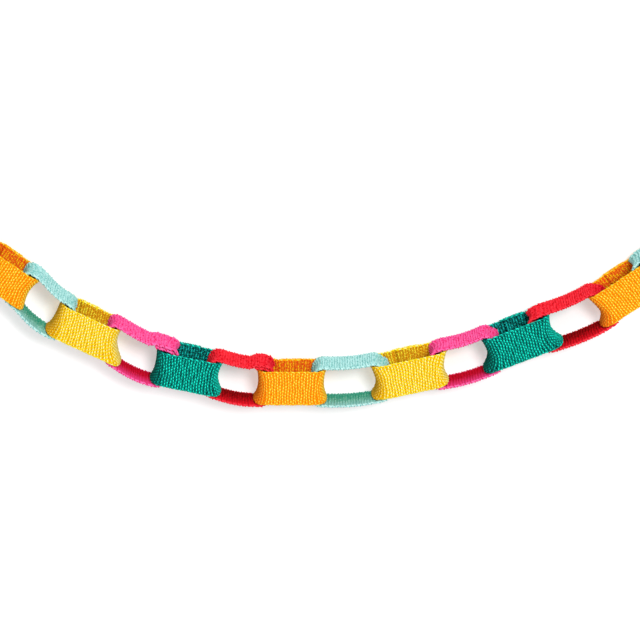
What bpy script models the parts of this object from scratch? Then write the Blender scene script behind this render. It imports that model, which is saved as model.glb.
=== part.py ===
"""A hanging chain garland: fifteen flattened loops of coarse cotton webbing, each passed through the next.

Every second loop faces the front, and the ones between lie a quarter turn round from it. Each loop is one
straight strip of webbing bent round and lapped over its own start. Where two loops meet, their end walls
share one saddle: a wall curves back at its folds and flares out at its selvedges, which is what lets the
two strips press against each other.

The garland is first laid out straight along X, and one bending spine then hangs it in its curve. The
origin is the place where the left end hangs, inside the first loop. X runs along the garland, Y to the
back and Z up. Lengths are in metres.
"""

import math

import bmesh
import bpy
import numpy as np
from mathutils import Vector

# The strip
STRIP_WIDTH = 0.025
STRIP_THICKNESS = 0.0020
RIDGE_PITCH = 0.0045
FURROW_THICKNESS = 0.0014
SELVEDGE_NOTCH = 0.0004
LAP_LENGTH = 0.014
LAP_RAMP = 0.004
LAP_CLEARANCE = 0.0001

# The loop
FOLD_LENGTH = 0.0072
FOLD_ROUNDING = 2.8
FLARE = 0.0025
FLARE_POWER = 2.2
SIDE_CLEARANCE = 0.0006
LINK_CLEARANCE = 0.0003
BAND_SAG = 0.0012

# The chain: for each loop, the distance between the two places where it meets its neighbours, its slope
# in degrees, and how many degrees the walls lean to the left at its right-hand meeting
LINKS = (
    (0.0380, -45.0, 0.0),
    (0.0380, -36.0, 5.0),
    (0.0322, -45.8, 8.0),
    (0.0405, -26.2, 18.0),
    (0.0381, -28.6, 7.0),
    (0.0380, -12.3, 2.0),
    (0.0361, -11.5, 0.0),
    (0.0394, 0.0, -3.0),
    (0.0440, 4.7, 3.0),
    (0.0422, 12.7, -14.0),
    (0.0394, 17.4, -2.0),
    (0.0408, 22.1, -8.0),
    (0.0433, 24.0, 8.0),
    (0.0400, 35.5, 0.0),
    (0.0380, 45.0, 0.0),
)

# How much further a loop's corners reach than plain ones: upper left, upper right, lower left, lower right
CORNER_REACHES = {
    2: (0.0, 0.0, 0.0, 0.0022),
    3: (0.0030, 0.0065, 0.0070, 0.0),
    4: (0.0, 0.0, 0.0, 0.0040),
    5: (0.0, 0.0070, 0.0, 0.0),
    6: (0.0, 0.0, 0.0, 0.0020),
    7: (0.0, 0.0020, 0.0, 0.0),
    10: (0.0, 0.0013, 0.0025, 0.0013),
    11: (0.0030, 0.0, 0.0, 0.0),
    12: (0.0, 0.0, 0.0036, 0.0036),
    13: (0.0085, 0.0, 0.0, 0.0),
    14: (0.0, 0.0, 0.0029, 0.0),
    15: (0.0050, 0.0, 0.0, 0.0),
}
TURN_IN_FACING_LINK = 0.003
TURN_IN_CROSS_LINK = 0.010

COLORS = ("red", "orange", "mint", "yellow", "pink", "teal")
PAINT = {
    "red": (0.82, 0.02, 0.04),
    "orange": (1.0, 0.38, 0.01),
    "mint": (0.36, 0.72, 0.62),
    "yellow": (0.92, 0.58, 0.01),
    "pink": (1.0, 0.06, 0.30),
    "teal": (0.0, 0.36, 0.26),
}
CLOTH_ROUGHNESS = 0.9

# Where a strip's lap lies: how much of the way round from the middle of the back or upper band, how much
# further along in metres, and whether it is inside the loop
LAP_ON_BACK = (0.0, 0.0, False)
LAP_ON_RIGHT_WALL = (0.25, 0.0, False)
LAP_OVER_RIGHT_FOLD = (0.0, 0.017, False)
LAP_IN_BACK = (0.0, -0.001, True)
PLAIN_LAPS = (LAP_ON_RIGHT_WALL, LAP_ON_BACK)
OTHER_LAPS = {5: LAP_OVER_RIGHT_FOLD, 7: LAP_OVER_RIGHT_FOLD, 8: LAP_IN_BACK}

OUTLINE_POINTS = 120
SPINE_STEP = 0.0005

HALF_WIDTH = STRIP_WIDTH / 2
HALF_DEPTH = HALF_WIDTH + SIDE_CLEARANCE + STRIP_THICKNESS / 2


def fold_fall(depth):
    """How far an end wall has curved back at this depth from its middle."""
    part = np.minimum(np.abs(depth) / HALF_DEPTH, 1.0)
    return FOLD_LENGTH * (1 - (1 - part**FOLD_ROUNDING) ** (1 / FOLD_ROUNDING))


def edge_flare(across):
    """How far an end wall stands out at this distance from the strip's centre line."""
    return FLARE * (abs(across) / HALF_WIDTH) ** FLARE_POWER


def wall_offset():
    """From the meeting place of two loops to the middle of either wall.

    It lets the inside of each fold pass the other strip's flared selvedge, and the two walls clear each
    other in the middle.
    """
    depth = np.linspace(0.0, HALF_DEPTH, OUTLINE_POINTS)[:-1]
    fall = fold_fall(depth)
    slope = np.gradient(fall, depth)
    steepness = np.hypot(1.0, slope)
    inner_depth = depth - STRIP_THICKNESS / 2 * slope / steepness
    inner_fall = fall + STRIP_THICKNESS / 2 / steepness
    passing = np.interp(HALF_WIDTH + LINK_CLEARANCE, inner_depth, inner_fall)
    at_corner = float(passing) - FLARE + LINK_CLEARANCE / 2
    at_middle = (STRIP_THICKNESS + LINK_CLEARANCE) / 2
    return max(at_corner, at_middle)


def loop_outline(pitch):
    """The centre line of a loop as points (along, depth), from the middle of its far band round to there."""
    reach = pitch / 2 + wall_offset() - FOLD_LENGTH
    turn = np.linspace(math.pi / 2, -math.pi / 2, OUTLINE_POINTS)
    power = 2 / FOLD_ROUNDING
    along = reach + FOLD_LENGTH * np.abs(np.cos(turn)) ** power
    depth = HALF_DEPTH * np.sign(np.sin(turn)) * np.abs(np.sin(turn)) ** power
    right = np.stack([along, depth], axis=1)
    left = -right
    ends = np.array([[0.0, HALF_DEPTH]])
    return np.concatenate([ends, right, left, ends])


def smooth(value):
    held = np.clip(value, 0.0, 1.0)
    return held * held * (3 - 2 * held)


def strip_sections(pitch, lap_share, lap_shift, laps_inside):
    """The strip's cross-sections in order: (along, depth) of each, and how much of the flare it takes."""
    outline = loop_outline(pitch)
    lengths = np.linalg.norm(np.diff(outline, axis=0), axis=1)
    travelled = np.concatenate([[0.0], np.cumsum(lengths)])
    around = travelled[-1]
    total = around + LAP_LENGTH
    count = 2 * round(total / RIDGE_PITCH)
    run = np.linspace(0.0, total, count + 1)
    place = np.mod(run + lap_share * around + lap_shift - LAP_LENGTH / 2, around)
    center = np.stack([np.interp(place, travelled, outline[:, k]) for k in (0, 1)], axis=1)
    ahead = np.mod(place + SPINE_STEP, around)
    behind = np.mod(place - SPINE_STEP, around)
    places = [(np.interp(ahead, travelled, side), np.interp(behind, travelled, side)) for side in outline.T]
    tangent = np.stack([after - before for after, before in places], axis=1)
    tangent /= np.linalg.norm(tangent, axis=1, keepdims=True)
    outward = np.stack([-tangent[:, 1], tangent[:, 0]], axis=1)
    lift = smooth((run - around + LAP_RAMP) / LAP_RAMP) * (STRIP_THICKNESS + LAP_CLEARANCE)
    side = -1.0 if laps_inside else 1.0
    flared_from = pitch / 2 + wall_offset() - float(fold_fall(HALF_WIDTH))
    flare_share = np.clip(center[:, 0] / flared_from, -1.0, 1.0) ** 3
    return center + outward * (side * lift)[:, None], flare_share


def band_sag(sections, pitch):
    """How far the upper and lower bands droop between their folds."""
    reach = pitch / 2 + wall_offset() - FOLD_LENGTH
    return BAND_SAG * np.maximum(1 - (sections[:, 0] / reach) ** 2, 0.0)


def corner_reach(number, along, height, half_pitch):
    """How far the loop's nearest corner draws this point out along the garland."""
    upper_left, upper_right, lower_left, lower_right = CORNER_REACHES.get(number, (0.0, 0.0, 0.0, 0.0))
    left = upper_left if height > 0 else lower_left
    right = upper_right if height > 0 else lower_right
    share = min(abs(along) / half_pitch, 1.0) ** 3 * min(abs(height) / HALF_WIDTH, 1.0) ** 1.5
    return right * share if along > 0 else -left * share


def spine_table():
    """The hung centre line as a table of (distance along, x, z, slope, lean)."""
    meetings = np.concatenate([[0.0], np.cumsum([pitch for pitch, _, _ in LINKS])])
    along = np.arange(-STRIP_WIDTH, meetings[-1] + STRIP_WIDTH, SPINE_STEP)
    slopes = [slope for _, slope, _ in LINKS]
    leans = [0.0] + [lean for _, _, lean in LINKS]
    lean = np.radians(np.interp(along, meetings, leans))
    slope = np.full(len(along), slopes[0])
    for number, (before, after) in enumerate(zip(slopes, slopes[1:]), start=1):
        turn_in = (TURN_IN_CROSS_LINK, TURN_IN_FACING_LINK)
        start = meetings[number] - turn_in[(number - 1) % 2]
        end = meetings[number] + turn_in[number % 2]
        slope += (after - before) * smooth((along - start) / (end - start))
    slope = np.radians(slope)
    x = np.cumsum(np.cos(slope)) * SPINE_STEP
    z = np.cumsum(np.sin(slope)) * SPINE_STEP
    return along, x, z, slope, lean


ALONG, SPINE_X, SPINE_Z, SPINE_SLOPE, SPINE_LEAN = spine_table()
HANGING_PLACE = -wall_offset() + STRIP_THICKNESS / 2


def hung(along, depth, height):
    """A point of the straight garland, in its place on the hung one."""
    along = along - height * math.tan(np.interp(along, ALONG, SPINE_LEAN))
    slope = np.interp(along, ALONG, SPINE_SLOPE)
    x = np.interp(along, ALONG, SPINE_X) - np.interp(HANGING_PLACE, ALONG, SPINE_X)
    z = np.interp(along, ALONG, SPINE_Z) - np.interp(HANGING_PLACE, ALONG, SPINE_Z)
    return Vector((x - math.sin(slope) * height, depth, z + math.cos(slope) * height))


def cloth(color):
    material = bpy.data.materials.get(color)
    if material is None:
        material = bpy.data.materials.new(color)
        material.use_nodes = True
        shader = material.node_tree.nodes["Principled BSDF"]
        shader.inputs["Base Color"].default_value = (*PAINT[color], 1.0)
        shader.inputs["Roughness"].default_value = CLOTH_ROUGHNESS
        shader.inputs["Metallic"].default_value = 0.0
    return material


def make_link(number, start, pitch, collection):
    """One loop of webbing: a grid along the strip, bent round, given its ridges and its thickness."""
    color = COLORS[(number - 1) % len(COLORS)]
    faces_front = number % 2 == 0
    sections, flare_share = strip_sections(pitch, *OTHER_LAPS.get(number, PLAIN_LAPS[(number - 1) % 2]))
    if not faces_front:
        sections[:, 1] -= band_sag(sections, pitch)
    middle = start + pitch / 2

    shape = bmesh.new()
    bmesh.ops.create_grid(shape, x_segments=len(sections) - 1, y_segments=2, size=1.0)
    shape.verts.ensure_lookup_table()
    ridge = shape.verts.layers.deform.verify()
    for vert in shape.verts:
        index = round((vert.co.x + 1) / 2 * (len(sections) - 1))
        crest = index % 2 == 1
        across = vert.co.y * (HALF_WIDTH if crest else HALF_WIDTH - SELVEDGE_NOTCH)
        along = sections[index, 0] + flare_share[index] * edge_flare(across)
        depth = sections[index, 1]
        back, height = (depth, across) if faces_front else (across, depth)
        along += middle + corner_reach(number, sections[index, 0], height, pitch / 2)
        vert.co = hung(along, back, height)
        vert[ridge][0] = 1.0 if crest else 0.0

    name = f"link_{number:02d}_{color}"
    mesh = bpy.data.meshes.new(name)
    shape.to_mesh(mesh)
    shape.free()
    link = bpy.data.objects.new(name, mesh)
    link.vertex_groups.new(name="ridges")
    mesh.materials.append(cloth(color))
    collection.objects.link(link)

    walls = link.modifiers.new("thickness", "SOLIDIFY")
    walls.thickness = STRIP_THICKNESS
    walls.offset = 0.0
    walls.use_even_offset = True
    walls.vertex_group = "ridges"
    walls.thickness_vertex_group = FURROW_THICKNESS / STRIP_THICKNESS
    return link


def main():
    for obj in list(bpy.data.objects):
        bpy.data.objects.remove(obj, do_unlink=True)
    garland = bpy.data.collections.new("chain_garland")
    bpy.context.scene.collection.children.link(garland)
    start = 0.0
    for number, (pitch, _, _) in enumerate(LINKS, start=1):
        make_link(number, start, pitch, garland)
        start += pitch


main()
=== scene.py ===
"""The looks of a hanging chain garland of woven cotton webbing, laid out as a Blender add-on.

Each loop is woven from its own yarns: lengthwise ends that pass over and under one long weft yarn, which
runs to and fro across the strip and turns at each selvedge. Lengths are in metres.
"""

import math

import bpy
import numpy as np
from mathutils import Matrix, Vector


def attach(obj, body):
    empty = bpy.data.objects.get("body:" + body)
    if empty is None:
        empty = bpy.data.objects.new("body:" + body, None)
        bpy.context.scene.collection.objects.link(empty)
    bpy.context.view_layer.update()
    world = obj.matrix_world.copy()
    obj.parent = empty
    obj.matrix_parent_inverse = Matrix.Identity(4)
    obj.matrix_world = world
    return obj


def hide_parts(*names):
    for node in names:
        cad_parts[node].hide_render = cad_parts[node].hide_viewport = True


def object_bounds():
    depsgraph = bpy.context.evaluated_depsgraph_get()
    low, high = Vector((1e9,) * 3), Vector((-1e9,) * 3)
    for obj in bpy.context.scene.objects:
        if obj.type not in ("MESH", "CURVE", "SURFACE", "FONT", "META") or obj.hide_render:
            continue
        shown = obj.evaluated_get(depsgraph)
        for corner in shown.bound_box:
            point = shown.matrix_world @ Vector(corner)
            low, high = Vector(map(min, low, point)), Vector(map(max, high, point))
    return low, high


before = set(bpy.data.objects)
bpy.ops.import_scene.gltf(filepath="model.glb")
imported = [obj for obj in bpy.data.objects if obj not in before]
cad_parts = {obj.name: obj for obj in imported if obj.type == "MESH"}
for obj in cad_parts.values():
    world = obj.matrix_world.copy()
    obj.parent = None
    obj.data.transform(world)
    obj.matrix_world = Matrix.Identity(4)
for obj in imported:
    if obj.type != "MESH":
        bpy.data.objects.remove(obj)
SOLID_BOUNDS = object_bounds()

bl_info = {
    "name": "Woven chain garland",
    "version": (1, 0, 0),
    "blender": (4, 5, 0),
    "location": "View3D > Sidebar > Garland",
    "description": "Weaves the loops of a hanging chain garland and sets up a studio",
    "category": "Add Mesh",
}

BODY = "root"

# For each loop, the distance between the two places where it meets its neighbours, its slope in degrees,
# and how many degrees the walls lean to the left at its right-hand meeting
LINKS = (
    (0.0380, -45.0, 0.0),
    (0.0380, -36.0, 5.0),
    (0.0322, -45.8, 8.0),
    (0.0405, -26.2, 18.0),
    (0.0381, -28.6, 7.0),
    (0.0380, -12.3, 2.0),
    (0.0361, -11.5, 0.0),
    (0.0394, 0.0, -3.0),
    (0.0440, 4.7, 3.0),
    (0.0422, 12.7, -14.0),
    (0.0394, 17.4, -2.0),
    (0.0408, 22.1, -8.0),
    (0.0433, 24.0, 8.0),
    (0.0400, 35.5, 0.0),
    (0.0380, 45.0, 0.0),
)

# How much further a loop's corners reach than plain ones: upper left, upper right, lower left, lower right
PLAIN_CORNERS = (0.0, 0.0, 0.0, 0.0)
CORNER_REACHES = {
    2: (0.0, 0.0, 0.0, 0.0022),
    3: (0.0030, 0.0065, 0.0070, 0.0),
    4: (0.0, 0.0, 0.0, 0.0040),
    5: (0.0, 0.0070, 0.0, 0.0),
    6: (0.0, 0.0, 0.0, 0.0020),
    7: (0.0, 0.0020, 0.0, 0.0),
    10: (0.0, 0.0013, 0.0025, 0.0013),
    11: (0.0030, 0.0, 0.0, 0.0),
    12: (0.0, 0.0, 0.0036, 0.0036),
    13: (0.0085, 0.0, 0.0, 0.0),
    14: (0.0, 0.0, 0.0029, 0.0),
    15: (0.0050, 0.0, 0.0, 0.0),
}

# How far a meeting's change of slope reaches into a loop that faces front, and into one whose bands lie
# above and below
TURN_IN_FACING_LINK = 0.003
TURN_IN_CROSS_LINK = 0.010

# Where a strip's lap lies: how much of the way round from the middle of the back or upper band, how much
# further along in metres, and whether it is inside the loop
LAP_ON_BACK = (0.0, 0.0, False)
LAP_ON_RIGHT_WALL = (0.25, 0.0, False)
LAP_OVER_RIGHT_FOLD = (0.0, 0.017, False)
LAP_IN_BACK = (0.0, -0.001, True)
PLAIN_LAPS = (LAP_ON_RIGHT_WALL, LAP_ON_BACK)
OTHER_LAPS = {5: LAP_OVER_RIGHT_FOLD, 7: LAP_OVER_RIGHT_FOLD, 8: LAP_IN_BACK}

OUTLINE_POINTS = 200
SPINE_STEP = 0.0005
NORMAL_STEP = 0.0004

# How sharply the flare and the corners grow toward an end of the loop, and the corners toward a selvedge
END_POWER = 3
CORNER_EDGE_POWER = 1.5

# Painted shade at the left and the right end of a loop that faces front, and of another
# the left end is the one turned away from the key light
BEND_SHADE_FACING = (1.0, 0.2)
BEND_SHADE_CROSS = (0.3, 0.2)

# A cut end of a lengthwise yarn, as shares of the fringe, the crimp, the yarn's girth and its pitch
CUT_FRINGE = (0.4, 1.0)
CUT_LIFT = 0.3
CUT_GIRTH = 0.7
CUT_STRAY = 0.4
WANDER_LENGTHS = (0.006, 0.020)

# A turn of the weft: its places between two picks, its height, how much thinner it is, its own mark, and
# the mark of the crossing beside it
TURN_PLACES = (0.12, 0.88)
TURN_LIFT = 0.8
TURN_THINNING = 0.3
TURN_MARK = 1.0
RIM_MARK = 0.7

# The core, a plain sheet that closes the cloth between the yarns: half its share of the width
# It closes the see-through gaps, and takes the painted shade that lies between the yarns
CORE_HALF_SHARE = 0.47
CORE_COLUMNS = 5

# The lap's seams: their places along it, the room beside a selvedge, and the form of one stitch
SEAM_PLACES = (0.25, 0.75)
SEAM_MARGIN = 0.001
SEAM_LIFT = 2.3
SEAM_GIRTH = 0.42
STITCH_ARCH = (0.2, 1.0, 1.0, 0.2)
STITCH_REACH = (-0.42, -0.3, 0.3, 0.42)

# How many sides the yarns have, and how many thick places to a metre
END_SIDES = 4
WEFT_SIDES = 5
YARN_SPOTS = 260.0

# The places of the five shades of a yarn color, and the shades of each color in that order
# The sides carry a yarn's own color, the crowns a painted highlight and the gaps painted shade;
# the inner shades are deeper painted shade inside a loop, lighter on the crowns there.
SHADE_PLACES = {
    "gap": "between the yarns",
    "side": "on the sides of the yarns",
    "crown": "on the crowns of the yarns",
    "inner_gap": "between the yarns inside a loop",
    "inner_crown": "on the crowns of the yarns inside a loop",
}
SHADES = {
    "red": (
        (0.60, 0.0, 0.006),
        (0.95, 0.010, 0.026),
        (1.0, 0.045, 0.07),
        (0.22, 0.0, 0.001),
        (0.95, 0.002, 0.010),
    ),
    "orange": (
        (0.92, 0.30, 0.0),
        (1.0, 0.46, 0.002),
        (1.0, 0.86, 0.09),
        (0.84, 0.050, 0.012),
        (1.0, 0.66, 0.010),
    ),
    "mint": (
        (0.18, 0.52, 0.49),
        (0.34, 0.70, 0.67),
        (0.57, 0.89, 0.86),
        (0.03, 0.38, 0.24),
        (0.46, 0.86, 0.72),
    ),
    "yellow": (
        (0.86, 0.49, 0.0),
        (0.98, 0.78, 0.010),
        (1.0, 0.99, 0.38),
        (0.66, 0.24, 0.0),
        (1.0, 0.92, 0.05),
    ),
    "pink": (
        (0.80, 0.01, 0.10),
        (1.0, 0.07, 0.32),
        (1.0, 0.17, 0.47),
        (0.60, 0.0, 0.015),
        (1.0, 0.010, 0.080),
    ),
    "teal": (
        (0.0, 0.045, 0.04),
        (0.002, 0.33, 0.265),
        (0.012, 0.95, 0.70),
        (0.0, 0.012, 0.012),
        (0.01, 0.62, 0.54),
    ),
}
COLORS = tuple(SHADES)

# Heights on a yarn, from the middle of the cloth to its crown, at which one shade passes into the next:
# painted shade between the yarns, the own color on the sides, then a painted highlight on the crowns
SHADES_BY_HEIGHT = (0.25, 0.60, 0.90)

# Where a mark on the yarns begins to count in the paint, and where it counts in full
TURN_RANGE = (0.8, 1.0)
RIM_RANGE = (0.3, 0.6)
WEFT_RANGE = (0.4, 0.6)
NEAR_RANGE = (0.1, 0.9)
FRONT_RANGE = (0.4, 1.0)
OUTSIDE_RANGE = (-0.1, 0.1)

# How much each mark counts
# On a level band, how far the ribs' painted highlight and shade are evened out, and toward what height
LEVEL_EVENING = 0.4
LEVEL_HEIGHT = 0.75
# The selvedge turns take a painted highlight, and the crossings beside them painted shade
TURN_LIGHTENING = 1.2
RIM_DEEPENING = 0.3
# Thick places and mottles: tone that differs at random, carried through the painted highlight and shade
SLUB_SHARE = 0.5
MOTTLE_SHARE = 2.4
# A crossing that is not bold takes less painted highlight and more painted shade, on crown, sides and inside
BOLD_CROWN = 0.4
BOLD_SIDE = 0.2
BOLD_INSIDE = 0.75
# Painted shade at the ends of a loop, taken from the crowns' painted highlight, from the sides, and over all
BEND_SHADE_OF_CROWN = 0.7
BEND_SHADE_OF_SIDE = 0.35
BEND_SHADE_OF_ALL = 0.55
# Painted shadow of the band above on the back of a level band's inside, and painted light near its front
INSIDE_SHADE = 0.85
INSIDE_NEAR_LIGHT = 0.8
# The selvedge turns keep the outer paint inside a loop, without its painted inner shade
TURN_OUTSIDE = 1.5

# Spots to a metre of the noises in the paint, and how the mottles are stretched
MOTTLE_SPOTS = 650.0
SLUB_SPOTS = 700.0
FIBER_SPOTS = 5200.0
SPOT_DETAIL = 2.0
MOTTLE_STRETCH = (1.0, 0.6, 1.0)

COTTON_SURFACE = {
    "Roughness": 0.9,
    "Specular IOR Level": 0.08,
    "Sheen Weight": 0.1,
    "Sheen Roughness": 0.5,
}
FIBER_BUMP = {"Strength": 0.5, "Distance": 0.00012}

# The stage: the picture's side, the loop that the camera is set by, the lens, the wall's sides, and where
# the fill light stands as seen from the garland
IMAGE_SIDE = 640
MIDDLE_LOOP = 8
SENSOR_WIDTH = 36.0
VIEW_DEPTH = 50.0
WALL_LEFT, WALL_RIGHT = -1.5, 2.0
WALL_BOTTOM, WALL_TOP = -0.6, 1.2
FILL_TOWARD = (-0.45, 0.5, 0.74)
FILL_SIZE = 1.5
WHITE = (1, 1, 1, 1)


class GarlandStrip(bpy.types.PropertyGroup):
    """The strip of webbing"""

    width: bpy.props.FloatProperty(
        name="Width", description="Width of the webbing", default=0.025, unit="LENGTH"
    )
    thickness: bpy.props.FloatProperty(
        name="Thickness", description="Thickness of the webbing", default=0.002, unit="LENGTH"
    )
    lap_length: bpy.props.FloatProperty(
        name="Lap", description="How far a strip laps over its own start", default=0.014, unit="LENGTH"
    )
    lap_ramp: bpy.props.FloatProperty(
        name="Lap ramp", description="Length over which the lap climbs", default=0.004, unit="LENGTH"
    )
    lap_clearance: bpy.props.FloatProperty(
        name="Lap clearance", description="Space between the lapped layers", default=0.0001, unit="LENGTH"
    )


class GarlandLoop(bpy.types.PropertyGroup):
    """The form of a loop"""

    fold_length: bpy.props.FloatProperty(
        name="Fold length",
        description="How far a fold reaches along the loop",
        default=0.0072,
        unit="LENGTH",
    )
    fold_rounding: bpy.props.FloatProperty(
        name="Fold rounding", description="2 is an ellipse, and more is squarer", default=2.8
    )
    flare: bpy.props.FloatProperty(
        name="Flare",
        description="How far the selvedges stand out at an end",
        default=0.0025,
        unit="LENGTH",
    )
    flare_power: bpy.props.FloatProperty(
        name="Flare power", description="How sharply the selvedges turn out", default=2.2
    )
    side_clearance: bpy.props.FloatProperty(
        name="Side clearance", description="Space beside the next strip", default=0.0006, unit="LENGTH"
    )
    link_clearance: bpy.props.FloatProperty(
        name="Loop clearance",
        description="Space between two loops where they meet",
        default=0.0003,
        unit="LENGTH",
    )
    band_sag: bpy.props.FloatProperty(
        name="Band sag",
        description="How far a level band droops between its folds",
        default=0.0012,
        unit="LENGTH",
    )


class GarlandWeave(bpy.types.PropertyGroup):
    """The yarns of the cloth"""

    ends: bpy.props.IntProperty(
        name="Ends", description="Lengthwise yarns in a strip", default=22, min=4
    )
    pick_pitch: bpy.props.FloatProperty(
        name="Pick pitch", description="Distance between crossing yarns", default=0.00188, unit="LENGTH"
    )
    crimp: bpy.props.FloatProperty(
        name="Crimp",
        description="How far a yarn leaves the middle of the cloth",
        default=0.00038,
        unit="LENGTH",
    )
    warp_crimp: bpy.props.FloatProperty(
        name="Warp crimp", description="Share of the crimp that the lengthwise yarns take", default=0.85
    )
    warp_float: bpy.props.FloatProperty(
        name="Warp float",
        description="Share of a crossing over which a lengthwise yarn lies flat",
        default=0.72,
    )
    weft_float: bpy.props.FloatProperty(
        name="Weft float", description="Share of a crossing over which the weft lies flat", default=0.60
    )
    warp_size: bpy.props.FloatVectorProperty(
        name="End size",
        description="Width and height of a lengthwise yarn",
        size=2,
        default=(0.00130, 0.00104),
        unit="LENGTH",
    )
    weft_size: bpy.props.FloatVectorProperty(
        name="Weft size",
        description="Width and height of the crossing yarn",
        size=2,
        default=(0.00200, 0.00118),
        unit="LENGTH",
    )
    loop_reach: bpy.props.FloatProperty(
        name="Selvedge loop",
        description="How far the weft turns out past the edge",
        default=-0.0004,
        unit="LENGTH",
    )
    fringe: bpy.props.FloatProperty(
        name="Fringe",
        description="How far a cut end's yarns stand out at most",
        default=0.0013,
        unit="LENGTH",
    )
    stitch_length: bpy.props.FloatProperty(
        name="Stitch", description="Length of a stitch of the lap's seams", default=0.0026, unit="LENGTH"
    )
    unevenness: bpy.props.FloatProperty(
        name="Unevenness", description="Thick and thin places in the yarn", default=0.14, subtype="FACTOR"
    )
    wander: bpy.props.FloatProperty(
        name="Wander",
        description="How far a yarn strays sideways, as a share of its pitch",
        default=0.14,
        subtype="FACTOR",
    )
    bold_share: bpy.props.FloatProperty(
        name="Bold crossings",
        description="Share of the crossings that catch more light",
        default=0.5,
        subtype="FACTOR",
    )
    seed: bpy.props.IntProperty(name="Seed", description="Chooses the uneven places", default=7)


# Each yarn color's shades: its own color, painted highlight and painted shade
class GarlandColors(bpy.types.PropertyGroup):
    """The shades of each yarn color"""


GarlandColors.__annotations__ = {
    f"{color}_{place}": bpy.props.FloatVectorProperty(
        name=f"{color} {place}".replace("_", " ").capitalize(),
        description=f"Color {where}",
        size=3,
        min=0.0,
        max=1.0,
        default=shade,
        subtype="COLOR",
    )
    for color, shades in SHADES.items()
    for (place, where), shade in zip(SHADE_PLACES.items(), shades)
}


class GarlandStudio(bpy.types.PropertyGroup):
    """The wall, the floor, the lamps and the camera"""

    elevation: bpy.props.FloatProperty(
        name="Camera height",
        description="Angle of the camera above level",
        default=math.radians(19),
        subtype="ANGLE",
    )
    distance: bpy.props.FloatProperty(
        name="Camera distance", description="From the camera to the garland", default=2.2, unit="LENGTH"
    )
    pixel: bpy.props.FloatProperty(
        name="Pixel", description="Size of a picture element at the garland", default=0.00071, unit="LENGTH"
    )
    middle_loop_across: bpy.props.FloatProperty(
        name="Middle loop across", description="Where the eighth loop's middle shows", default=291.0
    )
    middle_loop_down: bpy.props.FloatProperty(
        name="Middle loop down", description="Where the eighth loop's middle shows", default=381.8
    )
    wall_gap: bpy.props.FloatProperty(
        name="Wall gap", description="Space between the garland and the wall", default=0.002, unit="LENGTH"
    )
    wall_glow: bpy.props.FloatProperty(name="Wall glow", description="Light of the wall itself", default=1.7)
    wall_glow_share: bpy.props.FloatProperty(
        name="Glow share",
        description="Share of the wall's look that takes no shadow",
        default=0.21,
        subtype="FACTOR",
    )
    floor_drop: bpy.props.FloatProperty(
        name="Floor drop",
        description="From the garland's lowest point to the floor",
        default=0.46,
        unit="LENGTH",
    )
    floor_reach: bpy.props.FloatProperty(
        name="Floor reach", description="Half of the floor's side", default=40.0, unit="LENGTH"
    )
    key_height: bpy.props.FloatProperty(
        name="Key height",
        description="Angle of the key light above level",
        default=math.radians(26),
        subtype="ANGLE",
    )
    key_side: bpy.props.FloatProperty(
        name="Key side",
        description="Angle of the key light to the right",
        default=math.radians(15),
        subtype="ANGLE",
    )
    key_distance: bpy.props.FloatProperty(
        name="Key distance", description="From the key light to the garland", default=2.5, unit="LENGTH"
    )
    key_size: bpy.props.FloatProperty(
        name="Key size", description="Side of the key light", default=0.6, unit="LENGTH"
    )
    key_power: bpy.props.FloatProperty(name="Key light", description="Power in watts", default=37.5)
    fill_power: bpy.props.FloatProperty(name="Fill light", description="Power in watts", default=17.0)
    ambient: bpy.props.FloatProperty(
        name="Ambient light", description="Strength of the surroundings", default=0.62
    )


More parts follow.
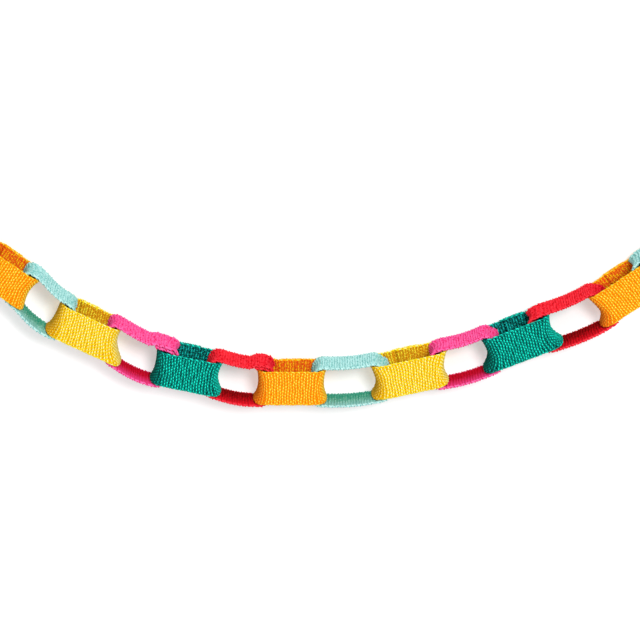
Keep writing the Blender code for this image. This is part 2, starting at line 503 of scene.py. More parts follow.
class LoopShape:
    """The form of the hung loops, as the solids have it: every point of a strip from its length and width."""

    def __init__(self, strip, loop):
        self.strip = strip
        self.loop = loop
        self.half_width = strip.width / 2
        self.half_depth = self.half_width + loop.side_clearance + strip.thickness / 2
        self.wall_offset = self.find_wall_offset()
        self.meetings = np.concatenate([[0.0], np.cumsum([pitch for pitch, _, _ in LINKS])])
        self.hang_spine()

    def fold_fall(self, depth):
        """How far a fold's outline has fallen back from its tip at a depth."""
        part = np.minimum(np.abs(depth) / self.half_depth, 1.0)
        power = self.loop.fold_rounding
        return self.loop.fold_length * (1 - (1 - part**power) ** (1 / power))

    def edge_flare(self, across):
        """How far an end of the loop stands out toward its selvedges."""
        return self.loop.flare * (np.abs(across) / self.half_width) ** self.loop.flare_power

    def find_wall_offset(self):
        """How far past a meeting a fold reaches, so that the next loop's strip fits inside it."""
        depth = np.linspace(0.0, self.half_depth, OUTLINE_POINTS)[:-1]
        fall = self.fold_fall(depth)
        slope = np.gradient(fall, depth)
        steepness = np.hypot(1.0, slope)
        half_thickness = self.strip.thickness / 2
        clearance = self.loop.link_clearance
        inner_depth = depth - half_thickness * slope / steepness
        inner_fall = fall + half_thickness / steepness
        passing = np.interp(self.half_width + clearance, inner_depth, inner_fall)
        at_corner = float(passing) - self.loop.flare + clearance / 2
        return max(at_corner, half_thickness + clearance / 2)

    def hang_spine(self):
        """The line that the garland hangs along, with its slope and its lean."""
        self.along = np.arange(-self.strip.width, self.meetings[-1] + self.strip.width, SPINE_STEP)
        slopes = [slope for _, slope, _ in LINKS]
        leans = [0.0] + [lean for _, _, lean in LINKS]
        self.lean = np.radians(np.interp(self.along, self.meetings, leans))
        slope = np.full(len(self.along), slopes[0])
        turn_in = (TURN_IN_CROSS_LINK, TURN_IN_FACING_LINK)
        for number, (before, after) in enumerate(zip(slopes, slopes[1:]), start=1):
            start = self.meetings[number] - turn_in[(number - 1) % 2]
            end = self.meetings[number] + turn_in[number % 2]
            slope += (after - before) * smooth((self.along - start) / (end - start))
        self.slope = np.radians(slope)
        self.spine_x = np.cumsum(np.cos(self.slope)) * SPINE_STEP
        self.spine_z = np.cumsum(np.sin(self.slope)) * SPINE_STEP
        held = -self.wall_offset + self.strip.thickness / 2
        self.spine_x -= np.interp(held, self.along, self.spine_x)
        self.spine_z -= np.interp(held, self.along, self.spine_z)

    def hung(self, along, depth, height):
        """The place of a point that is so far along, behind and above the line."""
        along = along - height * np.tan(np.interp(along, self.along, self.lean))
        slope = np.interp(along, self.along, self.slope)
        x = np.interp(along, self.along, self.spine_x) - np.sin(slope) * height
        z = np.interp(along, self.along, self.spine_z) + np.cos(slope) * height
        return np.stack([x, depth + 0 * x, z], axis=-1)

    def middle(self, number):
        """The middle of a loop."""
        along = (self.meetings[number - 1] + self.meetings[number]) / 2
        return self.hung(np.array(along), np.array(0.0), np.array(0.0))

    def flat_reach(self, pitch):
        """How far from the loop's middle its bands stay flat."""
        return pitch / 2 + self.wall_offset - self.loop.fold_length

    def outline(self, pitch):
        """The closed outline that a strip follows, as places along the loop and depths."""
        reach = self.flat_reach(pitch)
        turn = np.linspace(math.pi / 2, -math.pi / 2, OUTLINE_POINTS)
        power = 2 / self.loop.fold_rounding
        along = reach + self.loop.fold_length * np.abs(np.cos(turn)) ** power
        depth = self.half_depth * np.sign(np.sin(turn)) * np.abs(np.sin(turn)) ** power
        right = np.stack([along, depth], axis=1)
        ends = np.array([[0.0, self.half_depth]])
        return np.concatenate([ends, right, -right, ends])


class StripPath:
    """One loop's strip: places on it by the run along its length and the distance across."""

    def __init__(self, shape, number):
        self.shape = shape
        self.number = number
        self.faces_front = number % 2 == 0
        self.pitch = LINKS[number - 1][0]
        self.outline = shape.outline(self.pitch)
        steps = np.linalg.norm(np.diff(self.outline, axis=0), axis=1)
        self.travelled = np.concatenate([[0.0], np.cumsum(steps)])
        self.around = self.travelled[-1]
        self.length = self.around + shape.strip.lap_length
        self.lap = OTHER_LAPS.get(number, PLAIN_LAPS[(number - 1) % 2])

    def place(self, run):
        """How far round the outline a point of the strip is, so far from the strip's start."""
        share, shift, _ = self.lap
        start = share * self.around + shift - self.shape.strip.lap_length / 2
        return np.mod(run + start, self.around)

    def on_outline(self, place):
        """The point on the outline after so much of the way round it."""
        return [np.interp(place, self.travelled, self.outline[:, k]) for k in (0, 1)]

    def point(self, run, across):
        """Where a point of the strip lies, so far from its start and so far across it."""
        strip, shape = self.shape.strip, self.shape
        _, _, inside = self.lap
        place = self.place(run)
        center = self.on_outline(place)
        ahead = self.on_outline(np.mod(place + SPINE_STEP, self.around))
        behind = self.on_outline(np.mod(place - SPINE_STEP, self.around))
        tangent = np.array([ahead[0] - behind[0], ahead[1] - behind[1]])
        tangent /= np.linalg.norm(tangent, axis=0)
        climb = smooth((run - self.around + strip.lap_ramp) / strip.lap_ramp)
        lift = climb * (strip.thickness + strip.lap_clearance) * (-1.0 if inside else 1.0)
        flared_from = self.pitch / 2 + shape.wall_offset - float(shape.fold_fall(shape.half_width))
        flare_share = np.clip(center[0] / flared_from, -1.0, 1.0) ** END_POWER
        middle = (shape.meetings[self.number - 1] + shape.meetings[self.number]) / 2
        local = center[0] - tangent[1] * lift
        depth = center[1] + tangent[0] * lift
        if not self.faces_front:
            part = local / shape.flat_reach(self.pitch)
            depth = depth - shape.loop.band_sag * np.maximum(1 - part**2, 0.0)
        back, height = (depth, across) if self.faces_front else (across, depth)
        along = middle + local + flare_share * shape.edge_flare(across) + self.corner_reach(local, height)
        return shape.hung(along, back, height)

    def corner_reach(self, along, height):
        """How far the loop's nearest corner draws a point out along the garland."""
        upper_left, upper_right, lower_left, lower_right = CORNER_REACHES.get(self.number, PLAIN_CORNERS)
        left = np.where(height > 0, upper_left, lower_left)
        right = np.where(height > 0, upper_right, lower_right)
        end_share = np.minimum(np.abs(along) / (self.pitch / 2), 1.0) ** END_POWER
        edge_share = np.minimum(np.abs(height) / self.shape.half_width, 1.0) ** CORNER_EDGE_POWER
        return np.where(along > 0, right, -left) * end_share * edge_share

    def bend(self, run):
        """Painted shade by a place's turn into an end of the loop, from 0 on the flat of a band to 1."""
        along, _ = self.on_outline(self.place(run))
        past_flat = np.abs(along) - self.shape.flat_reach(self.pitch)
        turned = smooth(past_flat / self.shape.loop.fold_length)
        end_shade = BEND_SHADE_FACING if self.faces_front else BEND_SHADE_CROSS
        return turned * np.where(along < 0, *end_shade)

    def nearness(self, across):
        """How near a place on a level band is to its front selvedge, from 0 at the back one to 1."""
        return 0.5 if self.faces_front else np.clip(0.5 - across / self.shape.strip.width, 0.0, 1.0)

    def outward(self, run, across):
        """The direction out of the loop's surface."""
        lengthwise = self.point(run + NORMAL_STEP, across) - self.point(run - NORMAL_STEP, across)
        crosswise = self.point(run, across + NORMAL_STEP) - self.point(run, across - NORMAL_STEP)
        normal = np.cross(lengthwise, crosswise)
        normal /= np.linalg.norm(normal, axis=-1, keepdims=True)
        return -normal if self.faces_front else normal


def smooth(value):
    """An even passage from 0 to 1, which stays at 0 before and at 1 after."""
    held = np.clip(value, 0.0, 1.0)
    return held * held * (3 - 2 * held)


WARP, WEFT, CORE, THREAD = 0, 1, 2, 3


class YarnGuide:
    """Collects a strip's yarns as lines of points, and its core as a grid of faces."""

    def __init__(self, path):
        self.path = path
        self.points = []
        self.edges = []
        self.faces = []
        names = ("outward", "lift", "girth", "kind", "edge", "bold", "bend", "front", "level")
        self.values = {name: [] for name in names}
        self.count = 0

    def add_points(self, run, across, lift, girth, kind, edge=0.0, bold=0.0):
        """Adds points, with all that the tree and the paint have to know of them."""
        path, first = self.path, self.count
        self.points.append(path.point(run, across))
        self.values["outward"].append(path.outward(run, across))
        numbers = {
            "lift": lift,
            "girth": girth,
            "kind": float(kind),
            "edge": edge,
            "bold": bold,
            "bend": path.bend(run),
            "front": path.nearness(across),
            "level": 0.0 if path.faces_front else 1.0,
        }
        for name, number in numbers.items():
            self.values[name].append(number * np.ones(len(run)))
        self.count += len(run)
        return first

    def add_line(self, run, across, lift, kind, girth=1.0, edge=0.0, bold=0.0):
        """Adds one yarn."""
        first = self.add_points(run, across, lift, girth, kind, edge, bold)
        self.edges += [(first + k, first + k + 1) for k in range(len(run) - 1)]

    def add_grid(self, run, across, kind):
        """Adds a sheet of faces, with rows across the strip."""
        rows, columns = len(run), len(across)
        first = self.add_points(np.repeat(run, columns), np.tile(across, rows), 0.0, 1.0, kind)
        for row in range(rows - 1):
            for column in range(columns - 1):
                corner = first + row * columns + column
                self.faces.append((corner, corner + 1, corner + columns + 1, corner + columns))

    def to_object(self, name):
        """The guide as an object, with its values as attributes."""
        mesh = bpy.data.meshes.new(name)
        mesh.from_pydata(np.concatenate(self.points), self.edges, self.faces)
        for label, values in self.values.items():
            is_vector = label == "outward"
            attribute = mesh.attributes.new(label, "FLOAT_VECTOR" if is_vector else "FLOAT", "POINT")
            flat = np.concatenate(values).astype(np.float32).ravel()
            attribute.data.foreach_set("vector" if is_vector else "value", flat)
        guide = bpy.data.objects.new(name, mesh)
        bpy.context.scene.collection.objects.link(guide)
        return guide


def weave_guide(path, weave):
    """The plain weave of one strip: its ends, its one long weft yarn, its core and the lap's seams."""
    guide = YarnGuide(path)
    chance = np.random.default_rng(weave.seed + path.number)
    width = path.shape.strip.width
    picks = round(path.length / weave.pick_pitch)
    pick_pitch = path.length / picks
    end_pitch = width / weave.ends
    pick_run = (np.arange(picks) + 0.5) * pick_pitch
    end_place = (np.arange(weave.ends) + 0.5) * end_pitch - width / 2
    add_ends(guide, weave, chance, pick_run, pick_pitch, end_place, end_pitch)
    add_weft(guide, weave, chance, pick_run, pick_pitch, end_place, end_pitch)
    core_width = width * np.linspace(-CORE_HALF_SHARE, CORE_HALF_SHARE, CORE_COLUMNS)
    guide.add_grid(np.linspace(0.0, path.length, picks), core_width, CORE)
    add_seams(guide, weave, width)
    return guide


def add_ends(guide, weave, chance, pick_run, pick_pitch, end_place, end_pitch):
    """The lengthwise yarns, each frayed where the strip was cut."""
    flat = weave.warp_float / 2 * pick_pitch
    for number, place in enumerate(end_place):
        over = np.where((np.arange(len(pick_run)) + number) % 2 == 0, 1.0, -1.0)
        run = np.repeat(pick_run, 2) + np.tile([-flat, flat], len(pick_run))
        lift = np.repeat(over, 2) * weave.warp_crimp
        before, after = weave.fringe * chance.uniform(*CUT_FRINGE, 2)
        run = np.concatenate([[run[0] - before], run, [run[-1] + after]])
        lift = np.concatenate([[lift[0] * CUT_LIFT], lift, [lift[-1] * CUT_LIFT]])
        girth = np.ones(len(run))
        girth[[0, -1]] = CUT_GIRTH
        stray = wander(run, weave.wander * end_pitch, chance)
        stray[[0, -1]] = chance.uniform(-CUT_STRAY, CUT_STRAY, 2) * end_pitch
        is_rim = number in (0, weave.ends - 1)
        guide.add_line(run, place + stray, lift, WARP, girth, TURN_MARK * is_rim, chance.random(len(run)))


def add_weft(guide, weave, chance, pick_run, pick_pitch, end_place, end_pitch):
    """The crossing yarn, which runs to and fro and turns at each selvedge."""
    flat = weave.weft_float / 2 * end_pitch
    edge = end_place[-1] + end_pitch / 2 + weave.loop_reach
    run, across, lift, turned, bold = [], [], [], [], []
    for pick, middle in enumerate(pick_run):
        way = 1 if pick % 2 == 0 else -1
        over = np.where((pick + np.arange(len(end_place))) % 2 == 0, -1.0, 1.0)
        places = np.repeat(end_place, 2) + np.tile([-flat, flat], len(end_place))
        run.append(middle + wander(places, weave.wander * pick_pitch, chance)[::way])
        across.append(places[::way])
        lift.append(np.repeat(over, 2)[::way])
        rim = np.zeros(len(end_place))
        rim[[0, -1]] = RIM_MARK
        turned.append(np.repeat(rim, 2))
        bold.append(np.repeat(chance.random(len(end_place)) < weave.bold_share, 2) * 1.0)
        if pick < len(pick_run) - 1:
            run.append(middle + np.array(TURN_PLACES) * pick_pitch)
            across.append(np.full(2, way * edge))
            lift.append(lift[-1][-1] * np.array([TURN_LIFT, -TURN_LIFT]))
            turned.append(np.full(2, TURN_MARK))
            bold.append(np.ones(2))
    run, across, lift, turned, bold = (np.concatenate(part) for part in (run, across, lift, turned, bold))
    girth = 1.0 - TURN_THINNING * (turned > RIM_MARK)
    guide.add_line(run, across, lift, WEFT, girth, turned, bold)


def wander(along, reach, chance):
    """How far a yarn strays from its straight line, as a slow wave of its own."""
    length = chance.uniform(*WANDER_LENGTHS)
    return reach * np.sin(2 * math.pi * (along / length + chance.random()))


def add_seams(guide, weave, width):
    """Two rows of stitches through both layers of the lap, seen on each face of it."""
    path = guide.path
    lap = path.shape.strip.lap_length
    sewn = width - 2 * SEAM_MARGIN
    stitches = round(sewn / weave.stitch_length)
    place = (np.arange(stitches) + 0.5) / stitches * sewn - width / 2 + SEAM_MARGIN
    side = -1.0 if path.lap[2] else 1.0
    arch = np.array(STITCH_ARCH) * SEAM_LIFT * side
    for seam in SEAM_PLACES:
        outer = np.full(len(arch), path.length - lap * seam)
        inner = np.full(len(arch), lap * (1 - seam))
        for middle in place:
            across = middle + np.array(STITCH_REACH) * weave.stitch_length
            guide.add_line(outer, across, arch, THREAD, SEAM_GIRTH)
            guide.add_line(inner, across, -arch, THREAD, SEAM_GIRTH)


class NodeTree:
    """Adds nodes to a tree: settings first, then the values or links of the inputs."""

    def __init__(self, tree):
        self.tree = tree

    def add(self, kind, settings=None, inputs=None):
        """Adds one node."""
        node = self.tree.nodes.new(kind)
        for name, value in (settings or {}).items():
            setattr(node, name, value)
        for name, value in (inputs or {}).items():
            self.feed(node.inputs[name], value)
        return node

    def feed(self, socket, value):
        """Links a value to a socket, or sets the socket to it."""
        value = getattr(value, "socket", value)
        if isinstance(value, bpy.types.NodeSocket):
            self.tree.links.new(value, socket)
        else:
            socket.default_value = value


class Value:
    """A number in a node tree. Arithmetic on it adds Math nodes."""

    def __init__(self, nodes, socket):
        self.nodes = nodes
        self.socket = socket

    def math(self, operation, *others):
        """The result of one Math node."""
        node = self.nodes.add("ShaderNodeMath", {"operation": operation})
        for socket, value in zip(node.inputs, (self, *others)):
            self.nodes.feed(socket, value)
        return Value(self.nodes, node.outputs[0])

    def __add__(self, other):
        return self.math("ADD", other)

    __radd__ = __add__

    def __mul__(self, other):
        return self.math("MULTIPLY", other)

    __rmul__ = __mul__

    def __sub__(self, other):
        return self.math("SUBTRACT", other)

    def __rsub__(self, other):
        return (self * -1.0) + other

    def __truediv__(self, other):
        return self.math("DIVIDE", other)


def attribute_field(nodes, name, kind="FLOAT"):
    """A named attribute of the guide."""
    node = nodes.add("GeometryNodeInputNamedAttribute", {"data_type": kind}, {"Name": name})
    return node.outputs["Attribute"]


def yarn_tree():
    """Sweeps a yarn along each line of a guide, crimped over and under by its lift."""
    tree = bpy.data.node_groups.new("woven_yarns", "GeometryNodeTree")
    face = tree.interface
    face.new_socket("Geometry", in_out="INPUT", socket_type="NodeSocketGeometry")
    for name, kind in (
        ("Crimp", "NodeSocketFloat"),
        ("Half thickness", "NodeSocketFloat"),
        ("End size", "NodeSocketVector"),
        ("Weft size", "NodeSocketVector"),
        ("End sides", "NodeSocketInt"),
        ("Weft sides", "NodeSocketInt"),
        ("Unevenness", "NodeSocketFloat"),
        ("Seed", "NodeSocketFloat"),
        ("Material", "NodeSocketMaterial"),
    ):
        face.new_socket(name, in_out="INPUT", socket_type=kind)
    face.new_socket("Geometry", in_out="OUTPUT", socket_type="NodeSocketGeometry")
    nodes = NodeTree(tree)
    given = nodes.add("NodeGroupInput").outputs
    outward = attribute_field(nodes, "outward", "FLOAT_VECTOR")
    lift = Value(nodes, attribute_field(nodes, "lift"))
    girth = Value(nodes, attribute_field(nodes, "girth"))
    kind = Value(nodes, attribute_field(nodes, "kind"))
    place = nodes.add("GeometryNodeInputPosition").outputs[0]

    based = nodes.add(
        "GeometryNodeStoreNamedAttribute",
        {"data_type": "FLOAT_VECTOR", "domain": "POINT"},
        {"Geometry": given["Geometry"], "Name": "base", "Value": place},
    )
    offset = nodes.add(
        "ShaderNodeVectorMath", {"operation": "SCALE"}, {0: outward, "Scale": lift * given["Crimp"]}
    )
    crimped = nodes.add(
        "GeometryNodeSetPosition", {}, {"Geometry": based.outputs[0], "Offset": offset.outputs[0]}
    )
    noise = nodes.add(
        "ShaderNodeTexNoise",
        {"noise_dimensions": "4D"},
        {"Vector": place, "W": given["Seed"], "Scale": YARN_SPOTS, "Detail": 1.0},
    )
    bulge = ((Value(nodes, noise.outputs[0]) - 0.5) * given["Unevenness"] * 2.0 + 1.0) * girth

    parts = []
    lines = crimped.outputs[0]
    for number, size, sides in (
        (WARP, given["End size"], given["End sides"]),
        (WEFT, given["Weft size"], given["Weft sides"]),
        (THREAD, given["End size"], given["End sides"]),
    ):
        chosen = nodes.add(
            "GeometryNodeSeparateGeometry",
            {},
            {"Geometry": lines, "Selection": kind.math("COMPARE", float(number), 0.5)},
        )
        curve = nodes.add("GeometryNodeMeshToCurve", {}, {"Mesh": chosen.outputs["Selection"]})
        turned = nodes.add(
            "GeometryNodeSetCurveNormal", {"mode": "FREE"}, {"Curve": curve.outputs[0], "Normal": outward}
        )
        circle = nodes.add("GeometryNodeCurvePrimitiveCircle", {}, {"Resolution": sides, "Radius": 0.5})
        upright = nodes.add(
            "GeometryNodeTransform", {}, {"Geometry": circle.outputs[0], "Rotation": (0.0, 0.0, -math.pi / 2)}
        )
        profile = nodes.add("GeometryNodeTransform", {}, {"Geometry": upright.outputs[0], "Scale": size})
        tube = nodes.add(
            "GeometryNodeCurveToMesh",
            {},
            {
                "Curve": turned.outputs[0],
                "Profile Curve": profile.outputs[0],
                "Scale": bulge,
                "Fill Caps": True,
            },
        )
        parts.append(tube.outputs[0])
        lines = chosen.outputs["Inverted"]
    parts.append(lines)

    joined = nodes.add("GeometryNodeJoinGeometry")
    for mesh in parts:
        tree.links.new(mesh, joined.inputs[0])
    rounded = nodes.add("GeometryNodeSetShadeSmooth", {}, {"Geometry": joined.outputs[0]})
    base = attribute_field(nodes, "base", "FLOAT_VECTOR")
    away = nodes.add("ShaderNodeVectorMath", {"operation": "SUBTRACT"}, {0: place, 1: base})
    height = nodes.add("ShaderNodeVectorMath", {"operation": "DOT_PRODUCT"}, {0: away.outputs[0], 1: outward})
    rise = Value(nodes, height.outputs["Value"]) / given["Half thickness"]
    kept = nodes.add(
        "GeometryNodeStoreNamedAttribute",
        {"data_type": "FLOAT", "domain": "POINT"},
        {"Geometry": rounded.outputs[0], "Name": "rise", "Value": rise},
    )
    real = nodes.add("GeometryNodeRealizeInstances", {}, {"Geometry": kept.outputs[0]})
    painted = nodes.add(
        "GeometryNodeSetMaterial", {}, {"Geometry": real.outputs[0], "Material": given["Material"]}
    )
    nodes.add("NodeGroupOutput", {}, {"Geometry": painted.outputs[0]})
    return tree


def realized(guide, tree, values):
    """The plain mesh that a tree makes of a guide. The guide is removed."""
    modifier = guide.modifiers.new(tree.name, "NODES")
    modifier.node_group = tree
    sockets = {item.name: item.identifier for item in tree.interface.items_tree if item.in_out == "INPUT"}
    for name, value in values.items():
        modifier[sockets[name]] = value
    graph = bpy.context.evaluated_depsgraph_get()
    mesh = bpy.data.meshes.new_from_object(guide.evaluated_get(graph))
    guide.modifiers.remove(modifier)
    bpy.data.objects.remove(guide)
    return mesh


def blend(nodes, factor, first, second):
    """One color passing into another."""
    node = nodes.add("ShaderNodeMix", {"data_type": "RGBA"}, {0: factor, 6: first, 7: second})
    return node.outputs[2]


def ramp(nodes, value, start, end):
    """A smooth passage from 0 to 1 while a value goes from a start to an end."""
    node = nodes.add(
        "ShaderNodeMapRange",
        {"interpolation_type": "SMOOTHSTEP"},
        {"Value": value, "From Min": start, "From Max": end},
    )
    return Value(nodes, node.outputs[0])


def stored(nodes, name):
    """A number that the mesh stores at each of its points."""
    return Value(nodes, nodes.add("ShaderNodeAttribute", {"attribute_name": name}).outputs["Fac"])


def spots(nodes, place, scale):
    """Uneven spots, from 0 to 1 and mostly near the middle."""
    inputs = {"Vector": place, "Scale": scale, "Detail": SPOT_DETAIL}
    return Value(nodes, nodes.add("ShaderNodeTexNoise", {}, inputs).outputs[0])


def partly(value, share):
    """1 where a value is 1, and a share less where it is 0."""
    return value * share + (1 - share)


def webbing_material(color, colors):
    """Matt cotton: painted highlight on the yarns' crowns, painted shade between them and inside the loop."""
    material = bpy.data.materials.new(f"{color}_cotton")
    material.use_nodes = True
    nodes = NodeTree(material.node_tree)
    shader = material.node_tree.nodes["Principled BSDF"]
    gap, side, crown, inner_gap, inner_crown = (
        (*getattr(colors, f"{color}_{place}"), 1.0) for place in SHADE_PLACES
    )
    names = ("rise", "kind", "edge", "bold", "bend", "front", "level")
    rise, kind, edge, bold, bend, front, level = (stored(nodes, name) for name in names)
    place = nodes.add("ShaderNodeTexCoord").outputs["Object"]
    deep = nodes.add("ShaderNodeMapping", {}, {"Vector": place, "Scale": MOTTLE_STRETCH})
    mottle = spots(nodes, deep.outputs[0], MOTTLE_SPOTS)
    slub = spots(nodes, place, SLUB_SPOTS)
    fiber = spots(nodes, place, FIBER_SPOTS)

    # The rise picks the paint: painted shade low between the yarns, the own color, a painted highlight on top
    evened = level * LEVEL_EVENING
    height = rise.math("ABSOLUTE") * (1 - evened) + evened * LEVEL_HEIGHT
    height = height + ramp(nodes, edge, *TURN_RANGE) * TURN_LIGHTENING
    height = height - ramp(nodes, edge, *RIM_RANGE) * RIM_DEEPENING
    height = height + (slub - 0.5) * SLUB_SHARE + (mottle - 0.5) * level * MOTTLE_SHARE
    low, middle, high = SHADES_BY_HEIGHT

    # Painted highlight on the weft's crowns, and on every crown of a level band
    is_weft = ramp(nodes, kind, *WEFT_RANGE).math("MAXIMUM", level)
    crowned = ramp(nodes, height, middle, high) * is_weft * partly(bold, BOLD_CROWN)
    # Painted shade at the ends of the loop dulls the painted highlight, then the sides, then the whole
    crowned = crowned * (1 - bend * BEND_SHADE_OF_CROWN)
    sides = ramp(nodes, height, low, middle) * partly(bold, BOLD_SIDE) * (1 - bend * BEND_SHADE_OF_SIDE)
    outer = blend(nodes, crowned, blend(nodes, sides, gap, side), crown)
    outer = blend(nodes, bend * BEND_SHADE_OF_ALL, outer, inner_gap)

    # Inside a loop, painted shade: deepest at the back of a level band, with painted light toward its front
    shaded = (1 - ramp(nodes, front, *NEAR_RANGE)) * level * INSIDE_SHADE
    lit = ramp(nodes, height, low, high) * partly(bold, BOLD_INSIDE) * (1 - shaded)
    inner = blend(nodes, lit, inner_gap, inner_crown)
    inner = blend(nodes, ramp(nodes, front, *FRONT_RANGE) * level * INSIDE_NEAR_LIGHT, inner, side)
    # Outer faces and selvedge turns take the outer paint, inner faces the painted inner shade
    outside = ramp(nodes, rise + edge * TURN_OUTSIDE, *OUTSIDE_RANGE)
    nodes.feed(shader.inputs["Base Color"], blend(nodes, outside, inner, outer))
    for name, value in COTTON_SURFACE.items():
        shader.inputs[name].default_value = value
    shader.inputs["Sheen Tint"].default_value = side
    bump = nodes.add("ShaderNodeBump", {}, {**FIBER_BUMP, "Height": fiber})
    nodes.feed(shader.inputs["Normal"], bump.outputs[0])
    return material


class GARLAND_OT_weave_loops(bpy.types.Operator):
    """Weave every loop of the garland in its place"""

    bl_idname = "garland.weave_loops"
    bl_label = "Weave the loops"

    def execute(self, context):
        scene = context.scene
        shape = LoopShape(scene.garland_strip, scene.garland_loop)
        weave = scene.garland_weave
        tree = yarn_tree()
        materials = {color: webbing_material(color, scene.garland_colors) for color in COLORS}
        for number in range(1, len(LINKS) + 1):
            color = COLORS[(number - 1) % len(COLORS)]
            name = f"link_{number:02d}_{color}"
            guide = weave_guide(StripPath(shape, number), weave).to_object(f"{name}_guide")
            mesh = realized(
                guide,
                tree,
                {
                    "Crimp": weave.crimp,
                    "Half thickness": scene.garland_strip.thickness / 2,
                    "End size": (*weave.warp_size, 1.0),
                    "Weft size": (*weave.weft_size, 1.0),
                    "End sides": END_SIDES,
                    "Weft sides": WEFT_SIDES,
                    "Unevenness": weave.unevenness,
                    "Seed": float(weave.seed + number),
                    "Material": materials[color],
                },
            )
            mesh.name = f"{name}_weave"
            loop = bpy.data.objects.new(f"{name}_weave", mesh)
            scene.collection.objects.link(loop)
            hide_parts(name)
            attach(loop, BODY)
        return {"FINISHED"}


class GARLAND_OT_set_stage(bpy.types.Operator):
    """Set up the wall, the floor, the lamps and the camera"""

    bl_idname = "garland.set_stage"
    bl_label = "Set the stage"

    def execute(self, context):
        scene = context.scene
        studio = scene.garland_studio
        shape = LoopShape(scene.garland_strip, scene.garland_loop)
        low, high = SOLID_BOUNDS
        self.add_wall(scene, studio, high)
        self.add_floor(scene, studio, low)
        self.add_lamps(scene, studio, shape)
        self.add_camera(scene, studio, shape)
        scene.view_settings.view_transform = "Standard"
        return {"FINISHED"}

    def add_plane(self, scene, name, corners, studio):
        """A white flat piece of the stage."""
        mesh = bpy.data.meshes.new(name)
        mesh.from_pydata(corners, [], [(0, 1, 2, 3)])
        mesh.materials.append(white_material(f"{name}_white", studio))
        obj = bpy.data.objects.new(name, mesh)
        scene.collection.objects.link(obj)

    def add_wall(self, scene, studio, high):
        """The wall close behind the garland."""
        y = high[1] + studio.wall_gap
        corners = [
            (WALL_LEFT, y, WALL_BOTTOM),
            (WALL_RIGHT, y, WALL_BOTTOM),
            (WALL_RIGHT, y, WALL_TOP),
            (WALL_LEFT, y, WALL_TOP),
        ]
        self.add_plane(scene, "wall", corners, studio)

    def add_floor(self, scene, studio, low):
        """The wide floor under the garland."""
        z = low[2] - studio.floor_drop
        reach = studio.floor_reach
        corners = [(-reach, -reach, z), (reach, -reach, z), (reach, reach, z), (-reach, reach, z)]
        self.add_plane(scene, "floor", corners, studio)

    def add_lamps(self, scene, studio, shape):
        """The key light in front, the fill light behind, and the even light of the surroundings."""
        target = Vector(shape.middle(MIDDLE_LOOP))
        side, height = studio.key_side, studio.key_height
        level = math.cos(height)
        key_toward = Vector((level * math.sin(side), -level * math.cos(side), math.sin(height)))
        fill_toward = Vector(FILL_TOWARD).normalized()
        for name, way, power, size in (
            ("key", key_toward, studio.key_power, studio.key_size),
            ("fill", fill_toward, studio.fill_power, FILL_SIZE),
        ):
            lamp = bpy.data.lights.new(name, "AREA")
            lamp.energy = power
            lamp.size = size
            obj = bpy.data.objects.new(name, lamp)
            obj.location = target + way * studio.key_distance
            obj.rotation_euler = way.to_track_quat("Z", "Y").to_euler()
            scene.collection.objects.link(obj)
        world = bpy.data.worlds.new("studio")
        world.use_nodes = True
        nodes = NodeTree(world.node_tree)
        background = world.node_tree.nodes["Background"]
        background.inputs["Color"].default_value = WHITE
        path = nodes.add("ShaderNodeLightPath").outputs
        seen = Value(nodes, path["Is Camera Ray"]).math("MAXIMUM", path["Is Glossy Ray"])
        seen = seen.math("MAXIMUM", path["Is Transmission Ray"])
        strength = seen * (1 - studio.ambient) + studio.ambient
        nodes.feed(background.inputs["Strength"], strength)
        scene.world = world

    def add_camera(self, scene, studio, shape):
        """The camera, at the height and distance that the studio gives."""
        middle = shape.middle(MIDDLE_LOOP)
        right = (IMAGE_SIDE / 2 - studio.middle_loop_across) * studio.pixel
        up = (studio.middle_loop_down - IMAGE_SIDE / 2) * studio.pixel
        sine, cosine = math.sin(studio.elevation), math.cos(studio.elevation)
        target = np.array([middle[0] + right, middle[1] + up * sine, middle[2] + up * cosine])
        camera = bpy.data.cameras.new("camera")
        camera.sensor_width = SENSOR_WIDTH
        camera.lens = SENSOR_WIDTH * studio.distance / (IMAGE_SIDE * studio.pixel)
        camera.clip_end = VIEW_DEPTH
        obj = bpy.data.objects.new("camera", camera)
        obj.location = target + studio.distance * np.array([0.0, -cosine, sine])
        obj.rotation_euler = (math.pi / 2 - studio.elevation, 0.0, 0.0)
        scene.collection.objects.link(obj)
        scene.camera = obj


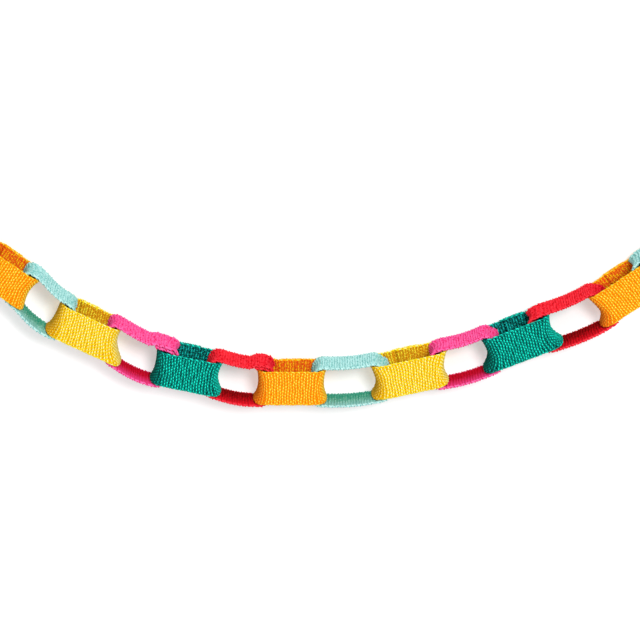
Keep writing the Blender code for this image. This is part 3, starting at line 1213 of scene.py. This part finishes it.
def white_material(name, studio):
    """White to the camera but for the shadows on it, and clear to every other ray and from behind."""
    material = bpy.data.materials.new(name)
    material.use_nodes = True
    tree = material.node_tree
    tree.nodes.clear()
    nodes = NodeTree(tree)
    path = nodes.add("ShaderNodeLightPath").outputs
    back = nodes.add("ShaderNodeNewGeometry").outputs["Backfacing"]
    clear = (1 - Value(nodes, path["Is Camera Ray"])).math("MAXIMUM", back)
    matt = nodes.add("ShaderNodeBsdfDiffuse", {}, {"Color": WHITE})
    glow = nodes.add("ShaderNodeEmission", {}, {"Color": WHITE, "Strength": studio.wall_glow})
    front = nodes.add(
        "ShaderNodeMixShader", {}, {0: studio.wall_glow_share, 1: matt.outputs[0], 2: glow.outputs[0]}
    )
    open_side = nodes.add("ShaderNodeBsdfTransparent")
    mixed = nodes.add("ShaderNodeMixShader", {}, {0: clear, 1: front.outputs[0], 2: open_side.outputs[0]})
    nodes.add("ShaderNodeOutputMaterial", {}, {"Surface": mixed.outputs[0]})
    return material


SETTINGS = {
    "garland_strip": GarlandStrip,
    "garland_loop": GarlandLoop,
    "garland_weave": GarlandWeave,
    "garland_colors": GarlandColors,
    "garland_studio": GarlandStudio,
}
STEPS = (GARLAND_OT_weave_loops, GARLAND_OT_set_stage)


class GARLAND_PT_panel(bpy.types.Panel):
    """Lists the steps that make the garland, and its settings"""

    bl_idname = "GARLAND_PT_panel"
    bl_label = "Garland"
    bl_space_type = "VIEW_3D"
    bl_region_type = "UI"
    bl_category = "Garland"

    def draw(self, context):
        for step in STEPS:
            self.layout.operator(step.bl_idname)
        for name, kind in SETTINGS.items():
            box = self.layout.box()
            box.label(text=kind.__doc__)
            for setting in kind.__annotations__:
                box.prop(getattr(context.scene, name), setting)


CLASSES = (*SETTINGS.values(), *STEPS, GARLAND_PT_panel)


def register():
    for kind in CLASSES:
        bpy.utils.register_class(kind)
    for name, kind in SETTINGS.items():
        setattr(bpy.types.Scene, name, bpy.props.PointerProperty(type=kind))


def unregister():
    for name in SETTINGS:
        delattr(bpy.types.Scene, name)
    for kind in reversed(CLASSES):
        bpy.utils.unregister_class(kind)


def main():
    register()
    bpy.ops.garland.weave_loops()
    bpy.ops.garland.set_stage()


if __name__ == "__main__":
    main()
